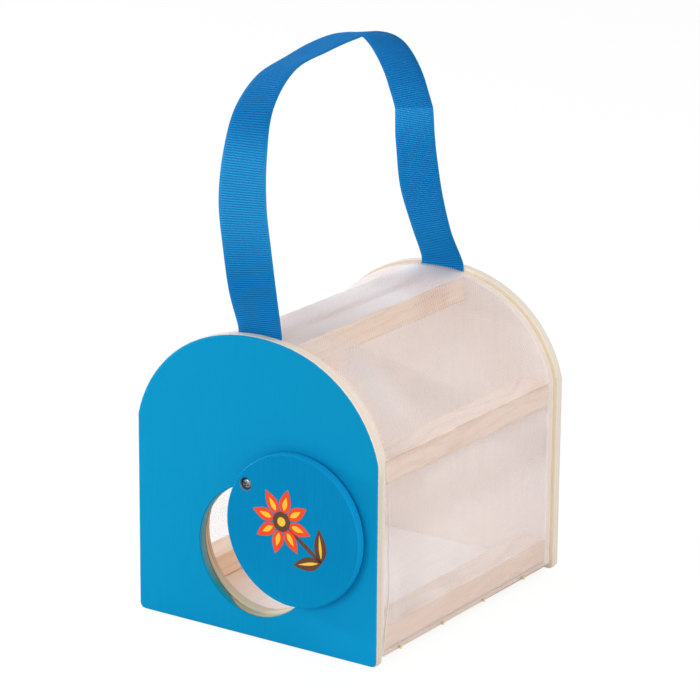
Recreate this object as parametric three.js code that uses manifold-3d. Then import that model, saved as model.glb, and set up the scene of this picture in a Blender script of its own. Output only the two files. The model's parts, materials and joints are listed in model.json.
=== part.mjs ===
// Insect cage: two arched wooden ends joined by rails and a floor, wrapped in netting, with a round door
// that swings on one screw and a ribbon to carry it by.
// Millimetres, +Z up. X runs across the cage, and Y from the front panel's face (0) to the rear panel's.

import * as THREE from 'three';
import { mergeVertices } from 'three/addons/utils/BufferGeometryUtils.js';
import Module from 'manifold-3d';

const wasm = await Module();
wasm.setup();

// Driving dimensions: the two ends
const cageWidth = 140;
const cageDepth = 168;
const shoulderHeight = 101;
const archHeight = 151.5;
const shoulderLeanDeg = 13;
const shoulderReach = 26;
const crownReach = 40.5;
const panelThickness = 5;
const panelRounding = 1.2;
const panelFootCorner = 3;
const boardThickness = 5;
const boardRounding = 0.4;
const boardFootCorner = 1.5;
const boardInset = 2.3;
const footHeight = 2.5;

// Driving dimensions: rails and floor
const railWidth = 15;
const railHeight = 12.5;
const railEasing = 0.8;
const upperRailGap = 4.6;
const floorThickness = 2.5;
const jointGap = 0.2;

// Driving dimensions: door and its screw
const holeHeight = 44.1;
const holeRadius = 32.8;
const holeRounding = 0.5;
const boardHoleRise = 2.7;
const boardHoleMargin = 1.5;
const doorRadius = 37.9;
const doorThickness = 5.4;
const doorRounding = 0.9;
const doorGap = 0.5;
const doorArm = 32.6;
const doorSwingDeg = 55;
const pivotOffset = -1.5;
const pivotHeight = 79.8;
const screwHeadRadius = 2.9;
const screwHeadHeight = 2.2;
const screwDomeHeight = 1.5;
const screwRadius = 1.5;
const screwLength = 8;
const screwTipLength = 2;
const crossLength = 3.4;
const crossWidth = 0.9;
const crossDepth = 1.1;
const crossTurnDeg = 28;
const counterboreRadius = 3.4;
const counterboreDepth = 2.6;
const runningClearance = 0.1;

// Driving dimensions: fixings
const nailHeadRadius = 1.7;
const nailHeadHeight = 0.8;
const nailRadius = 0.8;
const nailLength = 20;
const pinHeadRadius = 1;
const pinHeadHeight = 0.5;
const pinRadius = 0.45;
const pinLength = 8;
const pinsPerSide = 4;
const pinFrontDistance = 22.5;
const pinRearDistance = 32.5;
const fixingClearance = 0.15;

// Driving dimensions: netting
const netThickness = 0.5;
const netStandOff = 0.5;
const netThread = 1;
const netPitch = 13.5;
const netHem = 3;
const netSeam = 0.4;
const saddleLength = 45;

// Driving dimensions: ribbon
const ribbonWidth = 25;
const ribbonThickness = 0.6;
const ribbonEase = 0.2;
const ribbonTail = 15;
const ribbonGuide = 3;

// The ribbon's free loop as [along Y, up], from where it leaves the slot behind each panel
const ribbonFromFront = [
  [0, 0], [-7.7, 21.4], [-13.6, 43.4], [-16.6, 66], [-14.8, 88.6], [-5, 108.9], [12.8, 123],
  [34.3, 130.2], [57, 132.1],
];
const ribbonFromRear = [
  [-77.4, 129.7], [-56.3, 121.5], [-40, 105.7], [-30, 85.4], [-24.1, 63.4], [-19, 41.2],
  [-11.3, 19.7], [0, 0],
];

// How finely round forms are divided
const archSteps = 16;
const cornerSteps = 3;
const roundingSteps = 3;
const easingSteps = 1;
const domeSteps = 4;
const holeSegments = 48;
const doorSegments = 64;
const screwSegments = 24;
const fixingSegments = 8;
const ribbonSteps = 64;
const bisections = 40;
const slopeStep = 0.01;
const cutMargin = 1;

// Places worked out from the driving dimensions
const halfWidth = cageWidth / 2;
const shoulderLean = THREE.MathUtils.degToRad(shoulderLeanDeg);
const frontBoardStart = panelThickness + jointGap;
const frontBoardEnd = frontBoardStart + boardThickness;
const rearBoardEnd = cageDepth - panelThickness - jointGap;
const rearBoardStart = rearBoardEnd - boardThickness;
const spanStart = frontBoardEnd + jointGap;
const spanEnd = rearBoardStart - jointGap;
const boardSide = halfWidth - boardInset;
const floorTop = footHeight + floorThickness;
const ribbonSlotDepth = ribbonThickness + ribbonEase;
const ribbonFrontY = panelThickness + (jointGap + ribbonSlotDepth) / 2;
const ribbonRearY = cageDepth - ribbonFrontY;
const ribbonFoot = archHeight - boardInset - ribbonTail;

const paintBlue = { color: 0x1295ca, roughness: 0.5, metalness: 0 };
const palePly = { color: 0xe6d9c4, roughness: 0.75, metalness: 0 };
const pineWood = { color: 0xdcb592, roughness: 0.8, metalness: 0 };
const whiteNet = { color: 0xf4f1f2, roughness: 0.85, metalness: 0 };
const blueRibbon = { color: 0x1f7cc0, roughness: 0.6, metalness: 0 };
const brightSteel = { color: 0xb9bcc0, roughness: 0.3, metalness: 1 };
const brass = { color: 0xc9a94e, roughness: 0.4, metalness: 1 };

function addPart(parent, name, geometry, finish) {
  const mesh = new THREE.Mesh(geometry, new THREE.MeshStandardMaterial(finish));
  mesh.name = name;
  parent.add(mesh);
}

// Closed solids for cutting, and back again

function toSolid(geometry) {
  const bare = geometry.clone();
  bare.deleteAttribute('normal');
  bare.deleteAttribute('uv');
  const merged = mergeVertices(bare);
  const corners = merged.index.array;
  const kept = [];
  for (let i = 0; i < corners.length; i += 3) {
    const [a, b, c] = [corners[i], corners[i + 1], corners[i + 2]];
    if (a !== b && b !== c && c !== a) kept.push(a, b, c);
  }
  const vertProperties = new Float32Array(merged.attributes.position.array);
  return new wasm.Manifold(new wasm.Mesh({ numProp: 3, vertProperties, triVerts: new Uint32Array(kept) }));
}

function cut(geometry, cutters) {
  let solid = toSolid(geometry);
  for (const cutter of cutters) solid = solid.subtract(toSolid(cutter));
  const mesh = solid.getMesh();
  const result = new THREE.BufferGeometry();
  result.setAttribute('position', new THREE.BufferAttribute(mesh.vertProperties, 3));
  result.setIndex(new THREE.BufferAttribute(mesh.triVerts, 1));
  result.computeVertexNormals();
  return result;
}

// The arched outline that both ends share

const archCurve = new THREE.CubicBezierCurve(
  new THREE.Vector2(halfWidth, shoulderHeight),
  new THREE.Vector2(
    halfWidth - shoulderReach * Math.sin(shoulderLean),
    shoulderHeight + shoulderReach * Math.cos(shoulderLean),
  ),
  new THREE.Vector2(crownReach, archHeight),
  new THREE.Vector2(0, archHeight),
);

// A point of the right half of the arch, moved inwards. t runs from the shoulder (0) to the crown (1).
function archPoint(t, inset) {
  const point = archCurve.getPoint(t);
  const tangent = archCurve.getTangent(t);
  return new THREE.Vector2(point.x - inset * tangent.y, point.y + inset * tangent.x);
}

// Where the two faces at the shoulder meet after both have moved inwards
function shoulderPoint(inset) {
  return new THREE.Vector2(halfWidth - inset, shoulderHeight - inset * Math.tan(shoulderLean / 2));
}

// The t at which the inset arch is a given distance from the middle
function archStepAt(x, inset) {
  let [low, high] = [0, 1];
  for (let i = 0; i < bisections; i += 1) {
    const middle = (low + high) / 2;
    if (archPoint(middle, inset).x > x) low = middle;
    else high = middle;
  }
  return low;
}

// The whole outline, anticlockwise as seen from the front
function endOutline(inset, foot, corner) {
  const side = halfWidth - inset;
  const right = [];
  for (let i = 0; i <= cornerSteps; i += 1) {
    const angle = (i / cornerSteps - 1) * (Math.PI / 2);
    right.push(new THREE.Vector2(
      side - corner + corner * Math.cos(angle),
      foot + corner + corner * Math.sin(angle),
    ));
  }
  right.push(shoulderPoint(inset));
  for (let i = 1; i <= archSteps; i += 1) right.push(archPoint(i / archSteps, inset));
  const left = right.slice(0, -1).reverse().map((p) => new THREE.Vector2(-p.x, p.y));
  return [...right, ...left];
}

// A round hole's rim, clockwise as seen from the front
function holeOutline(hole, flare) {
  const radius = hole.radius + flare;
  const rim = [];
  for (let i = 0; i < hole.segments; i += 1) {
    const angle = (-i / hole.segments) * Math.PI * 2;
    rim.push(new THREE.Vector2(hole.x + radius * Math.cos(angle), hole.z + radius * Math.sin(angle)));
  }
  return rim;
}

// The depths and insets of one rounded edge, from its face inwards
function edgeLayers({ radius, steps }) {
  return Array.from({ length: steps + 1 }, (_, i) => {
    const angle = (i / steps) * (Math.PI / 2);
    return { y: radius * (1 - Math.cos(angle)), inset: radius * (1 - Math.sin(angle)) };
  });
}

// The layers of a plate whose front and back edges are rounded
function roundedLayers(thickness, frontEdge, backEdge) {
  const back = edgeLayers(backEdge).reverse();
  return [...edgeLayers(frontEdge), ...back.map(({ y, inset }) => ({ y: thickness - y, inset }))];
}

// A plate lofted front to back through its layers. A hole's flare is the rounding of its rims as a share of
// the outline's rounding.
function loftPlate(outlineAt, holes, layers, start) {
  const positions = [];
  const index = [];
  const holesAt = (inset) => holes.map((hole) => holeOutline(hole, hole.flare * inset));
  const ringsAt = (inset) => [outlineAt(inset), ...holesAt(inset)];
  for (const { y, inset } of layers) {
    for (const point of ringsAt(inset).flat()) positions.push(point.x, start + y, point.y);
  }
  const ringSizes = ringsAt(0).map((ring) => ring.length);
  const layerSize = ringSizes.reduce((sum, size) => sum + size, 0);
  for (let layer = 0; layer < layers.length - 1; layer += 1) {
    let ringStart = layer * layerSize;
    for (const size of ringSizes) {
      for (let i = 0; i < size; i += 1) {
        const near = ringStart + i;
        const nearNext = ringStart + (i + 1) % size;
        const far = near + layerSize;
        const farNext = nearNext + layerSize;
        index.push(near, far, farNext, near, farNext, nearNext);
      }
      ringStart += size;
    }
  }
  const [frontContour, ...frontHoles] = ringsAt(layers[0].inset);
  for (const [a, b, c] of THREE.ShapeUtils.triangulateShape(frontContour, frontHoles)) index.push(a, b, c);
  const [backContour, ...backHoles] = ringsAt(layers[layers.length - 1].inset);
  const back = (layers.length - 1) * layerSize;
  for (const [a, b, c] of THREE.ShapeUtils.triangulateShape(backContour, backHoles)) {
    index.push(back + c, back + b, back + a);
  }
  const geometry = new THREE.BufferGeometry();
  geometry.setAttribute('position', new THREE.Float32BufferAttribute(positions, 3));
  geometry.setIndex(index);
  geometry.computeVertexNormals();
  return geometry;
}

// A solid of revolution about the Y axis from [radius, y] pairs, with y growing along its outside
function turned(profile, segments) {
  return new THREE.LatheGeometry(profile.map(([radius, y]) => new THREE.Vector2(radius, y)), segments);
}

// A headed nail or pin that points along +Y, with its head's face at y = 0, grown all over by a clearance
function nailShape(size, grow) {
  return turned([
    [0, -grow],
    [size.headRadius + grow, -grow],
    [size.headRadius + grow, size.headHeight + grow],
    [size.radius + grow, size.headHeight + grow],
    [size.radius + grow, size.length - size.radius + grow],
    [0, size.length + grow],
  ], fixingSegments);
}

const nail = {
  headRadius: nailHeadRadius,
  headHeight: nailHeadHeight,
  radius: nailRadius,
  length: nailLength,
};
const pin = {
  headRadius: pinHeadRadius,
  headHeight: pinHeadHeight,
  radius: pinRadius,
  length: pinLength,
};

const cage = new THREE.Group();

// Rails: upper pair under the crown, a pair at the shoulders and a pair on the floor

const upperRailOuter = upperRailGap / 2 + railWidth;
const upperRailTop = archPoint(archStepAt(upperRailOuter, boardInset), boardInset).y;
const shoulderRailTop = shoulderPoint(boardInset).y;
const nailBesideRibbon = ribbonWidth / 2 + ribbonEase + nailHeadRadius + 2 * fixingClearance;
const upperRailMiddle = upperRailOuter - railWidth / 2;
const sideRailMiddle = boardSide - railWidth / 2;
const bottomRailTop = floorTop + jointGap + railHeight;
const railKinds = [
  { name: 'upper_rail', middle: upperRailMiddle, top: upperRailTop, nailX: nailBesideRibbon },
  { name: 'shoulder_rail', middle: sideRailMiddle, top: shoulderRailTop, nailX: sideRailMiddle },
  { name: 'bottom_rail', middle: sideRailMiddle, top: bottomRailTop, nailX: sideRailMiddle },
];
const sides = [{ side: -1, label: 'left' }, { side: 1, label: 'right' }];

function railGeometry(middleX, top) {
  const [w, h, r] = [railWidth / 2, railHeight / 2, railEasing];
  const section = new THREE.Shape();
  section.moveTo(-w + r, -h);
  section.lineTo(w - r, -h);
  section.absarc(w - r, -h + r, r, -Math.PI / 2, 0, false);
  section.absarc(w - r, h - r, r, 0, Math.PI / 2, false);
  section.absarc(-w + r, h - r, r, Math.PI / 2, Math.PI, false);
  section.absarc(-w + r, -h + r, r, Math.PI, 1.5 * Math.PI, false);
  const geometry = new THREE.ExtrudeGeometry(section, {
    depth: spanEnd - spanStart,
    bevelEnabled: false,
    curveSegments: cornerSteps,
  });
  geometry.rotateX(Math.PI / 2);
  geometry.translate(middleX, spanEnd, top - railHeight / 2);
  return geometry;
}

// A nail's solid, or its clearance hole, driven inwards through the front or the rear board
function placedNail(x, z, atFront, grow) {
  const geometry = nailShape(nail, grow);
  if (!atFront) geometry.rotateX(Math.PI);
  geometry.translate(x, atFront ? frontBoardStart : rearBoardEnd, z);
  return geometry;
}

const frame = new THREE.Group();
cage.add(frame);
const nailHoles = { front: [], rear: [] };
for (const { name, middle, top, nailX } of railKinds) {
  for (const { side, label } of sides) {
    const nailZ = top - railHeight / 2;
    const ends = [{ end: 'front', atFront: true }, { end: 'rear', atFront: false }];
    const railHoles = [];
    for (const { end, atFront } of ends) {
      const hole = placedNail(side * nailX, nailZ, atFront, fixingClearance);
      nailHoles[end].push(hole);
      railHoles.push(hole);
      const solid = placedNail(side * nailX, nailZ, atFront, 0);
      addPart(frame, `${name}_nail_${label}_${end}`, solid, brightSteel);
    }
    addPart(frame, `${name}_${label}`, cut(railGeometry(side * middle, top), railHoles), pineWood);
  }
}

// Floor board, pinned through the netting's hem along both sides

function placedPin(side, y, grow) {
  const geometry = nailShape(pin, grow);
  geometry.rotateZ(side * Math.PI / 2);
  const headFace = boardSide + netStandOff + netThickness + fixingClearance + pinHeadHeight;
  geometry.translate(side * headFace, y, footHeight + floorThickness / 2);
  return geometry;
}

const pinStep = (cageDepth - pinFrontDistance - pinRearDistance) / (pinsPerSide - 1);
const pinPlaces = Array.from({ length: pinsPerSide }, (_, i) => pinFrontDistance + pinStep * i);
const pinHoles = { left: [], right: [] };
for (const { side, label } of sides) {
  pinPlaces.forEach((y, i) => {
    pinHoles[label].push(placedPin(side, y, fixingClearance));
    addPart(frame, `hem_pin_${label}_${i + 1}`, placedPin(side, y, 0), brass);
  });
}
const floorBlank = new THREE.BoxGeometry(2 * boardSide, spanEnd - spanStart, floorThickness);
floorBlank.translate(0, (spanStart + spanEnd) / 2, footHeight + floorThickness / 2);
addPart(frame, 'floor_board', cut(floorBlank, [...pinHoles.left, ...pinHoles.right]), palePly);

// Ends: an outer panel and an inner board at the front and at the rear

const panelHole = {
  x: 0,
  z: holeHeight,
  radius: holeRadius,
  segments: holeSegments,
  flare: holeRounding / panelRounding,
};
const boardHole = {
  x: 0,
  z: holeHeight + boardHoleRise,
  radius: holeRadius + boardHoleMargin,
  segments: holeSegments,
  flare: 1,
};
const screwPilot = {
  x: pivotOffset,
  z: pivotHeight,
  radius: screwRadius + fixingClearance,
  segments: screwSegments,
  flare: 0,
};
const panelOutline = (inset) => endOutline(inset, inset, panelFootCorner - inset);
const boardOutline = (inset) => endOutline(boardInset + inset, footHeight + inset, boardFootCorner - inset);
const panelEdge = { radius: panelRounding, steps: roundingSteps };
const boardEdge = { radius: boardRounding, steps: easingSteps };
const boardLayers = roundedLayers(boardThickness, boardEdge, boardEdge);

// The shallow slot in a board's outer face that takes the ribbon's tail
function ribbonSlot(outerFace) {
  const foot = ribbonFoot - ribbonEase;
  const height = archHeight - foot;
  const slot = new THREE.BoxGeometry(ribbonWidth + 2 * ribbonEase, 2 * ribbonSlotDepth, height);
  slot.translate(0, outerFace, foot + height / 2);
  return slot;
}

const ends = new THREE.Group();
cage.add(ends);
const frontPanelLayers = roundedLayers(panelThickness, panelEdge, boardEdge);
const frontPanel = loftPlate(panelOutline, [panelHole, screwPilot], frontPanelLayers, 0);
addPart(ends, 'front_panel', frontPanel, paintBlue);
const frontBoard = loftPlate(boardOutline, [boardHole], boardLayers, frontBoardStart);
const frontCuts = [ribbonSlot(frontBoardStart), ...nailHoles.front];
addPart(ends, 'front_inner_board', cut(frontBoard, frontCuts), palePly);
const rearBoard = loftPlate(boardOutline, [], boardLayers, rearBoardStart);
const rearCuts = [ribbonSlot(rearBoardEnd), ...nailHoles.rear];
addPart(ends, 'rear_inner_board', cut(rearBoard, rearCuts), palePly);
const rearPanelLayers = roundedLayers(panelThickness, boardEdge, panelEdge);
const rearPanel = loftPlate(panelOutline, [], rearPanelLayers, cageDepth - panelThickness);
addPart(ends, 'rear_panel', rearPanel, palePly);

// Door: a disc that swings on one screw, modelled hanging straight down and then swung aside

const door = new THREE.Group();
door.position.set(pivotOffset, 0, pivotHeight);
cage.add(door);
const leaf = new THREE.Group();
leaf.rotation.y = -THREE.MathUtils.degToRad(doorSwingDeg);
door.add(leaf);

const doorFace = -doorGap - doorThickness;
const doorEdge = { radius: doorRounding, steps: roundingSteps };
const doorLayers = roundedLayers(doorThickness, doorEdge, doorEdge);
const doorProfile = [
  [0, doorFace],
  ...doorLayers.map(({ y, inset }) => [doorRadius - inset, doorFace + y]),
  [0, -doorGap],
];
const doorBlank = turned(doorProfile, doorSegments);
doorBlank.translate(0, 0, -doorArm);
const pivotBore = turned([
  [0, doorFace - cutMargin],
  [counterboreRadius, doorFace - cutMargin],
  [counterboreRadius, doorFace + counterboreDepth],
  [screwRadius + runningClearance, doorFace + counterboreDepth],
  [screwRadius + runningClearance, cutMargin],
  [0, cutMargin],
], 2 * screwSegments);
addPart(leaf, 'door_disc', cut(doorBlank, [pivotBore]), paintBlue);

const headSeat = doorFace + counterboreDepth - runningClearance;
const headTop = headSeat - screwHeadHeight;
const screwDome = Array.from({ length: domeSteps + 1 }, (_, i) => {
  const angle = (i / domeSteps) * (Math.PI / 2);
  return [screwHeadRadius * Math.sin(angle), headTop + screwDomeHeight * (1 - Math.cos(angle))];
});
const screwBlank = turned([
  ...screwDome,
  [screwHeadRadius, headSeat],
  [screwRadius, headSeat],
  [screwRadius, headSeat + screwLength - screwTipLength],
  [0, headSeat + screwLength],
], screwSegments);
const crossCuts = [0, Math.PI / 2].map((turn) => {
  const slot = new THREE.BoxGeometry(crossLength, 2 * crossDepth, crossWidth);
  slot.rotateY(turn + THREE.MathUtils.degToRad(crossTurnDeg));
  slot.translate(0, headTop, 0);
  return slot;
});
addPart(door, 'pivot_screw', cut(screwBlank, crossCuts), brightSteel);

// Netting: one sheet in life, here a net for each stretch between two rails. At the ends it follows
// the boards' arch, and between them it sinks to the straight line from rail to rail.

const netStart = frontBoardStart + ribbonSlotDepth + jointGap;
const netEnd = rearBoardEnd - ribbonSlotDepth - jointGap;
const netEndHem = spanStart - netStart;
const netLevel = boardInset - netStandOff;

// Edges of the hems, threads and gaps along one direction: every second stretch is a gap
function netLines(start, end, hem) {
  const run = end - start - 2 * hem;
  const gaps = Math.max(1, Math.round(run / netPitch));
  const gap = (run - (gaps - 1) * netThread) / gaps;
  const lines = [start];
  for (let i = 0; i < gaps; i += 1) {
    const gapStart = start + hem + i * (gap + netThread);
    lines.push(gapStart, gapStart + gap);
  }
  lines.push(end);
  return lines;
}

// How far the net has sunk from the arch to the line between the rails
function sinkAt(y) {
  const fromBoard = Math.min(y - spanStart, spanEnd - y);
  return THREE.MathUtils.smoothstep(fromBoard, 0, saddleLength);
}

// A net over the surface that taut and edge give as [x, z] for a distance across, from 0 to width
function netGeometry({ width, taut, edge }, side) {
  const across = netLines(netSeam / 2, width - netSeam / 2, netHem);
  const along = netLines(netStart, netEnd, netEndHem);
  const surface = (s, y) => {
    const point = edge(s).lerp(taut(s), sinkAt(y));
    return new THREE.Vector3(side * point.x, y, point.y);
  };
  const positions = [];
  for (const s of across) {
    for (const y of along) {
      const point = surface(s, y);
      const alongS = surface(s + slopeStep, y).sub(surface(s - slopeStep, y));
      const alongY = surface(s, y + slopeStep).sub(surface(s, y - slopeStep));
      const outwards = alongS.cross(alongY).normalize().multiplyScalar(side * netThickness);
      positions.push(...point.toArray(), ...point.add(outwards).toArray());
    }
  }
  const rows = along.length;
  const isGap = (i, j) => i % 2 === 1 && j % 2 === 1;
  const isSolid = (i, j) => i >= 0 && j >= 0 && i < across.length - 1 && j < rows - 1 && !isGap(i, j);
  const corner = (i, j, outer) => 2 * (i * rows + j) + outer;
  const index = [];
  const quad = (a, b, c, d) => {
    if (side > 0) index.push(a, b, c, a, c, d);
    else index.push(c, b, a, d, c, a);
  };
  const wall = (i0, j0, i1, j1) => {
    quad(corner(i0, j0, 0), corner(i0, j0, 1), corner(i1, j1, 1), corner(i1, j1, 0));
  };
  for (let i = 0; i < across.length - 1; i += 1) {
    for (let j = 0; j < rows - 1; j += 1) {
      if (!isSolid(i, j)) continue;
      quad(corner(i, j, 1), corner(i + 1, j, 1), corner(i + 1, j + 1, 1), corner(i, j + 1, 1));
      quad(corner(i, j, 0), corner(i, j + 1, 0), corner(i + 1, j + 1, 0), corner(i + 1, j, 0));
      if (!isSolid(i - 1, j)) wall(i, j, i, j + 1);
      if (!isSolid(i + 1, j)) wall(i + 1, j + 1, i + 1, j);
      if (!isSolid(i, j - 1)) wall(i + 1, j, i, j);
      if (!isSolid(i, j + 1)) wall(i, j + 1, i + 1, j + 1);
    }
  }
  const geometry = new THREE.BufferGeometry();
  geometry.setAttribute('position', new THREE.Float32BufferAttribute(positions, 3));
  geometry.setIndex(index);
  geometry.computeVertexNormals();
  return geometry;
}

const upperStep = archStepAt(upperRailOuter, netLevel);
const upperCorner = archPoint(upperStep, netLevel);
const shoulderCorner = shoulderPoint(netLevel);

const topNet = {
  width: 2 * upperCorner.x,
  taut: (s) => new THREE.Vector2(s - upperCorner.x, upperCorner.y),
  edge: (s) => {
    const x = s - upperCorner.x;
    return new THREE.Vector2(x, archPoint(archStepAt(Math.abs(x), netLevel), netLevel).y);
  },
};
const roofWidth = upperCorner.distanceTo(shoulderCorner);
const roofNet = {
  width: roofWidth,
  taut: (s) => upperCorner.clone().lerp(shoulderCorner, s / roofWidth),
  edge: (s) => archPoint(upperStep * (1 - s / roofWidth), netLevel),
};
const wallFoot = new THREE.Vector2(shoulderCorner.x, footHeight);
const wallHeight = shoulderCorner.y - footHeight;
const wallNet = {
  width: wallHeight,
  taut: (s) => shoulderCorner.clone().lerp(wallFoot, s / wallHeight),
  edge: (s) => shoulderCorner.clone().lerp(wallFoot, s / wallHeight),
};

const netting = new THREE.Group();
cage.add(netting);
addPart(netting, 'top_net', netGeometry(topNet, 1), whiteNet);
for (const { side, label } of sides) {
  addPart(netting, `roof_net_${label}`, netGeometry(roofNet, side), whiteNet);
  addPart(netting, `wall_net_${label}`, cut(netGeometry(wallNet, side), pinHoles[label]), whiteNet);
}

// Ribbon: its side profile, extruded across its width. Both tails are held between a panel and its board.

const ribbonExit = archHeight + ribbonThickness;
const profilePoint = (y, z) => new THREE.Vector3(y, z, 0);
const ribbonLine = new THREE.CatmullRomCurve3([
  profilePoint(ribbonFrontY, ribbonFoot),
  profilePoint(ribbonFrontY, ribbonExit - ribbonGuide),
  ...ribbonFromFront.map(([y, z]) => profilePoint(ribbonFrontY + y, ribbonExit + z)),
  ...ribbonFromRear.map(([y, z]) => profilePoint(ribbonRearY + y, ribbonExit + z)),
  profilePoint(ribbonRearY, ribbonExit - ribbonGuide),
  profilePoint(ribbonRearY, ribbonFoot),
]);
const ribbonFaces = { outer: [], inner: [] };
for (let i = 0; i <= ribbonSteps; i += 1) {
  const point = ribbonLine.getPointAt(i / ribbonSteps);
  const tangent = ribbonLine.getTangentAt(i / ribbonSteps);
  const across = new THREE.Vector2(-tangent.y, tangent.x).multiplyScalar(ribbonThickness / 2);
  ribbonFaces.outer.push(new THREE.Vector2(point.x + across.x, point.y + across.y));
  ribbonFaces.inner.push(new THREE.Vector2(point.x - across.x, point.y - across.y));
}
const ribbonShape = new THREE.Shape([...ribbonFaces.inner, ...ribbonFaces.outer.reverse()]);
const ribbon = new THREE.ExtrudeGeometry(ribbonShape, { depth: ribbonWidth, bevelEnabled: false });
const profileToCage = new THREE.Matrix4().makeBasis(
  new THREE.Vector3(0, 1, 0),
  new THREE.Vector3(0, 0, 1),
  new THREE.Vector3(1, 0, 0),
);
ribbon.applyMatrix4(profileToCage);
ribbon.translate(-ribbonWidth / 2, 0, 0);
addPart(cage, 'ribbon_handle', ribbon, blueRibbon);

// The origin is the middle of the space that the cage stands on, ribbon and door included
const reach = new THREE.Box3().setFromObject(cage, true);
const middle = reach.getCenter(new THREE.Vector3());
cage.position.set(-middle.x, -middle.y, -reach.min.z);

export default cage;
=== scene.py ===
"""Insect cage: arched plywood ends, pine rails, stretched netting, a door disc and a ribbon handle."""

import json
import math

import bpy
import numpy as np
from mathutils import Matrix, Vector

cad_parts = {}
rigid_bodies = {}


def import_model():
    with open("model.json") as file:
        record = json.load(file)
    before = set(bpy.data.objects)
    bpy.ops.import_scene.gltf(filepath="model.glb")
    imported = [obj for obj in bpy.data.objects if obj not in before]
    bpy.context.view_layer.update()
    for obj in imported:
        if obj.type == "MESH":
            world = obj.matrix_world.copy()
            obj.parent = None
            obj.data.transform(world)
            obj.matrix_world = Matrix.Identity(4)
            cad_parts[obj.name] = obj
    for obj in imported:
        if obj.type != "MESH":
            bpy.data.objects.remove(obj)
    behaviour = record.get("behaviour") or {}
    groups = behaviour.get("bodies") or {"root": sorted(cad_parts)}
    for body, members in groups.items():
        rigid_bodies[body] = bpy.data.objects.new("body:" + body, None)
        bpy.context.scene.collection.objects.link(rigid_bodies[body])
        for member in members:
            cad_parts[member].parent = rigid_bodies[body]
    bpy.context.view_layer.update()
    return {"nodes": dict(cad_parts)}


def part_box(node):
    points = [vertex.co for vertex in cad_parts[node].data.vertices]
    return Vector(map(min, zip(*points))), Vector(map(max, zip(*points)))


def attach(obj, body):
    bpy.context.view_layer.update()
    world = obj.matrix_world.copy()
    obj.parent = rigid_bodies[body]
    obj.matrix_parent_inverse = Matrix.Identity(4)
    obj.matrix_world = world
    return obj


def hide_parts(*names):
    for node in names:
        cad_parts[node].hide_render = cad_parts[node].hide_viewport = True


for leftover in list(bpy.data.objects):
    bpy.data.objects.remove(leftover)
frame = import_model()
nodes = frame["nodes"]

# Sizes are in millimetres. Depths run back from the front panel's face.
MM = 0.001
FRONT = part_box("front_panel")[0].y / MM

# Ends: their thickness and depths, the arch that they share, and the holes of the front ones
PLY = 5.0
FRONT_BOARD = 5.2
REAR_BOARD = 157.8
REAR_PANEL = 163.0
HALF_WIDTH = 70.0
SHOULDER_HEIGHT = 101.0
SHOULDER_LEAN = math.radians(13)
SHOULDER_PULL = 26.0
CROWN_HEIGHT = 151.5
CROWN_PULL = 40.5
HOLE_HEIGHT = 44.1
HOLE_RADIUS = 32.8
BOARD_HOLE_HEIGHT = 46.8
BOARD_HOLE_RADIUS = 34.3

# Floor board: height of its underside, and its thickness
FLOOR_FOOT = 2.5
FLOOR_THICKNESS = 2.5

# Netting: its corners and ends, the depths where it leaves the end boards, the length of its way from
# arched to straight, its mesh and threads, and its bend over the rails
NET_FOOT = 2.7
NET_WALL = 68.4
NET_SHOULDER = 100.8
NET_UPPER = 17.3
NET_INSET = 1.6
NET_FRONT = 6.2
NET_REAR = 161.8
BOARD_FRONT = 10.4
BOARD_REAR = 157.6
SADDLE = 45.0
MESH_ACROSS = 1.1
MESH_ALONG = 1.6
THREAD_WIDTH = 0.2
THREAD_HEIGHT = 0.2
THREAD_RISE = 0.05
THREAD_PRESSED = 0.25
BEND = 1.2
BEND_TAPS = 5
SLOPE_STEP = 0.4

# Loose thread at the netting's front edge; its route gives depth and height
LOOSE_RADIUS = 0.26
LOOSE_SIDES = 6
LOOSE_STAND_OFF = 0.5
LOOSE_STEPS = 8
LOOSE_ROUTE = [(10.8, 91.1), (11.3, 71.2), (11.8, 51.1), (12.0, 30.9), (10.4, 21.4), (8.4, 9.3), (7.0, 4.0)]

# Ribbon: its size, its depths in the ends, the heights of its tails and of its way out, its ribs, its
# selvedges and its crease
RIBBON_HALF = 12.5
RIBBON_THICKNESS = 0.5
RIBBON_FRONT = 5.5
RIBBON_REAR = 162.5
RIBBON_FOOT = 134.2
RIBBON_GUIDE = 149.1
RIBBON_EXIT = 152.1
RIB_PITCH = 1.18
RIB_HEIGHT = "rib_height"
RIB_SKEW = (0.092, -0.12)
RIB_RISE = 0.19
STATIONS_ACROSS = 13
STATIONS_PER_RIB = 6
SELVEDGE = 1.1
SELVEDGE_STEP = 0.3
SELVEDGE_ROUND = 0.25
SELVEDGE_SHADE = 0.55
CREASE_HEIGHT = 84.3
CREASE_LENGTH = 14.0
CREASE_RISE = 1.2
CREASE_SLANT = -0.215
CREASE_SHARPNESS = 1.5
ROUTE_STEPS = 40

# Each point of a limb: back from its end board, up, shift to the right, and twist in degrees
FRONT_SHIFT = -1.0
REAR_SHIFT = 0.9
FRONT_LIMB = [
    (0, 0, FRONT_SHIFT, 0), (-7.6, 21.4, 0.2, -9), (-13.2, 43.6, 1.0, -10), (-16.2, 65.9, 0.6, -8),
    (-14.5, 88.5, 0.7, 1), (-5.2, 109.5, -0.5, 12), (12.4, 122.8, -0.7, 16), (34.3, 128.4, 1.9, 13),
    (56.8, 130.7, 1.3, 10)]
REAR_LIMB = [
    (-77.2, 130.5, 0.1, 9), (-55.6, 123.6, 0.1, 0), (-39.8, 106.2, 0.8, -3), (-29.9, 85.6, 0.7, -6),
    (-24.4, 63.4, -0.2, -4), (-19.3, 41.2, -0.2, 0), (-11.3, 20, 0.8, -3), (0, 0, REAR_SHIFT, 0)]

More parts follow.
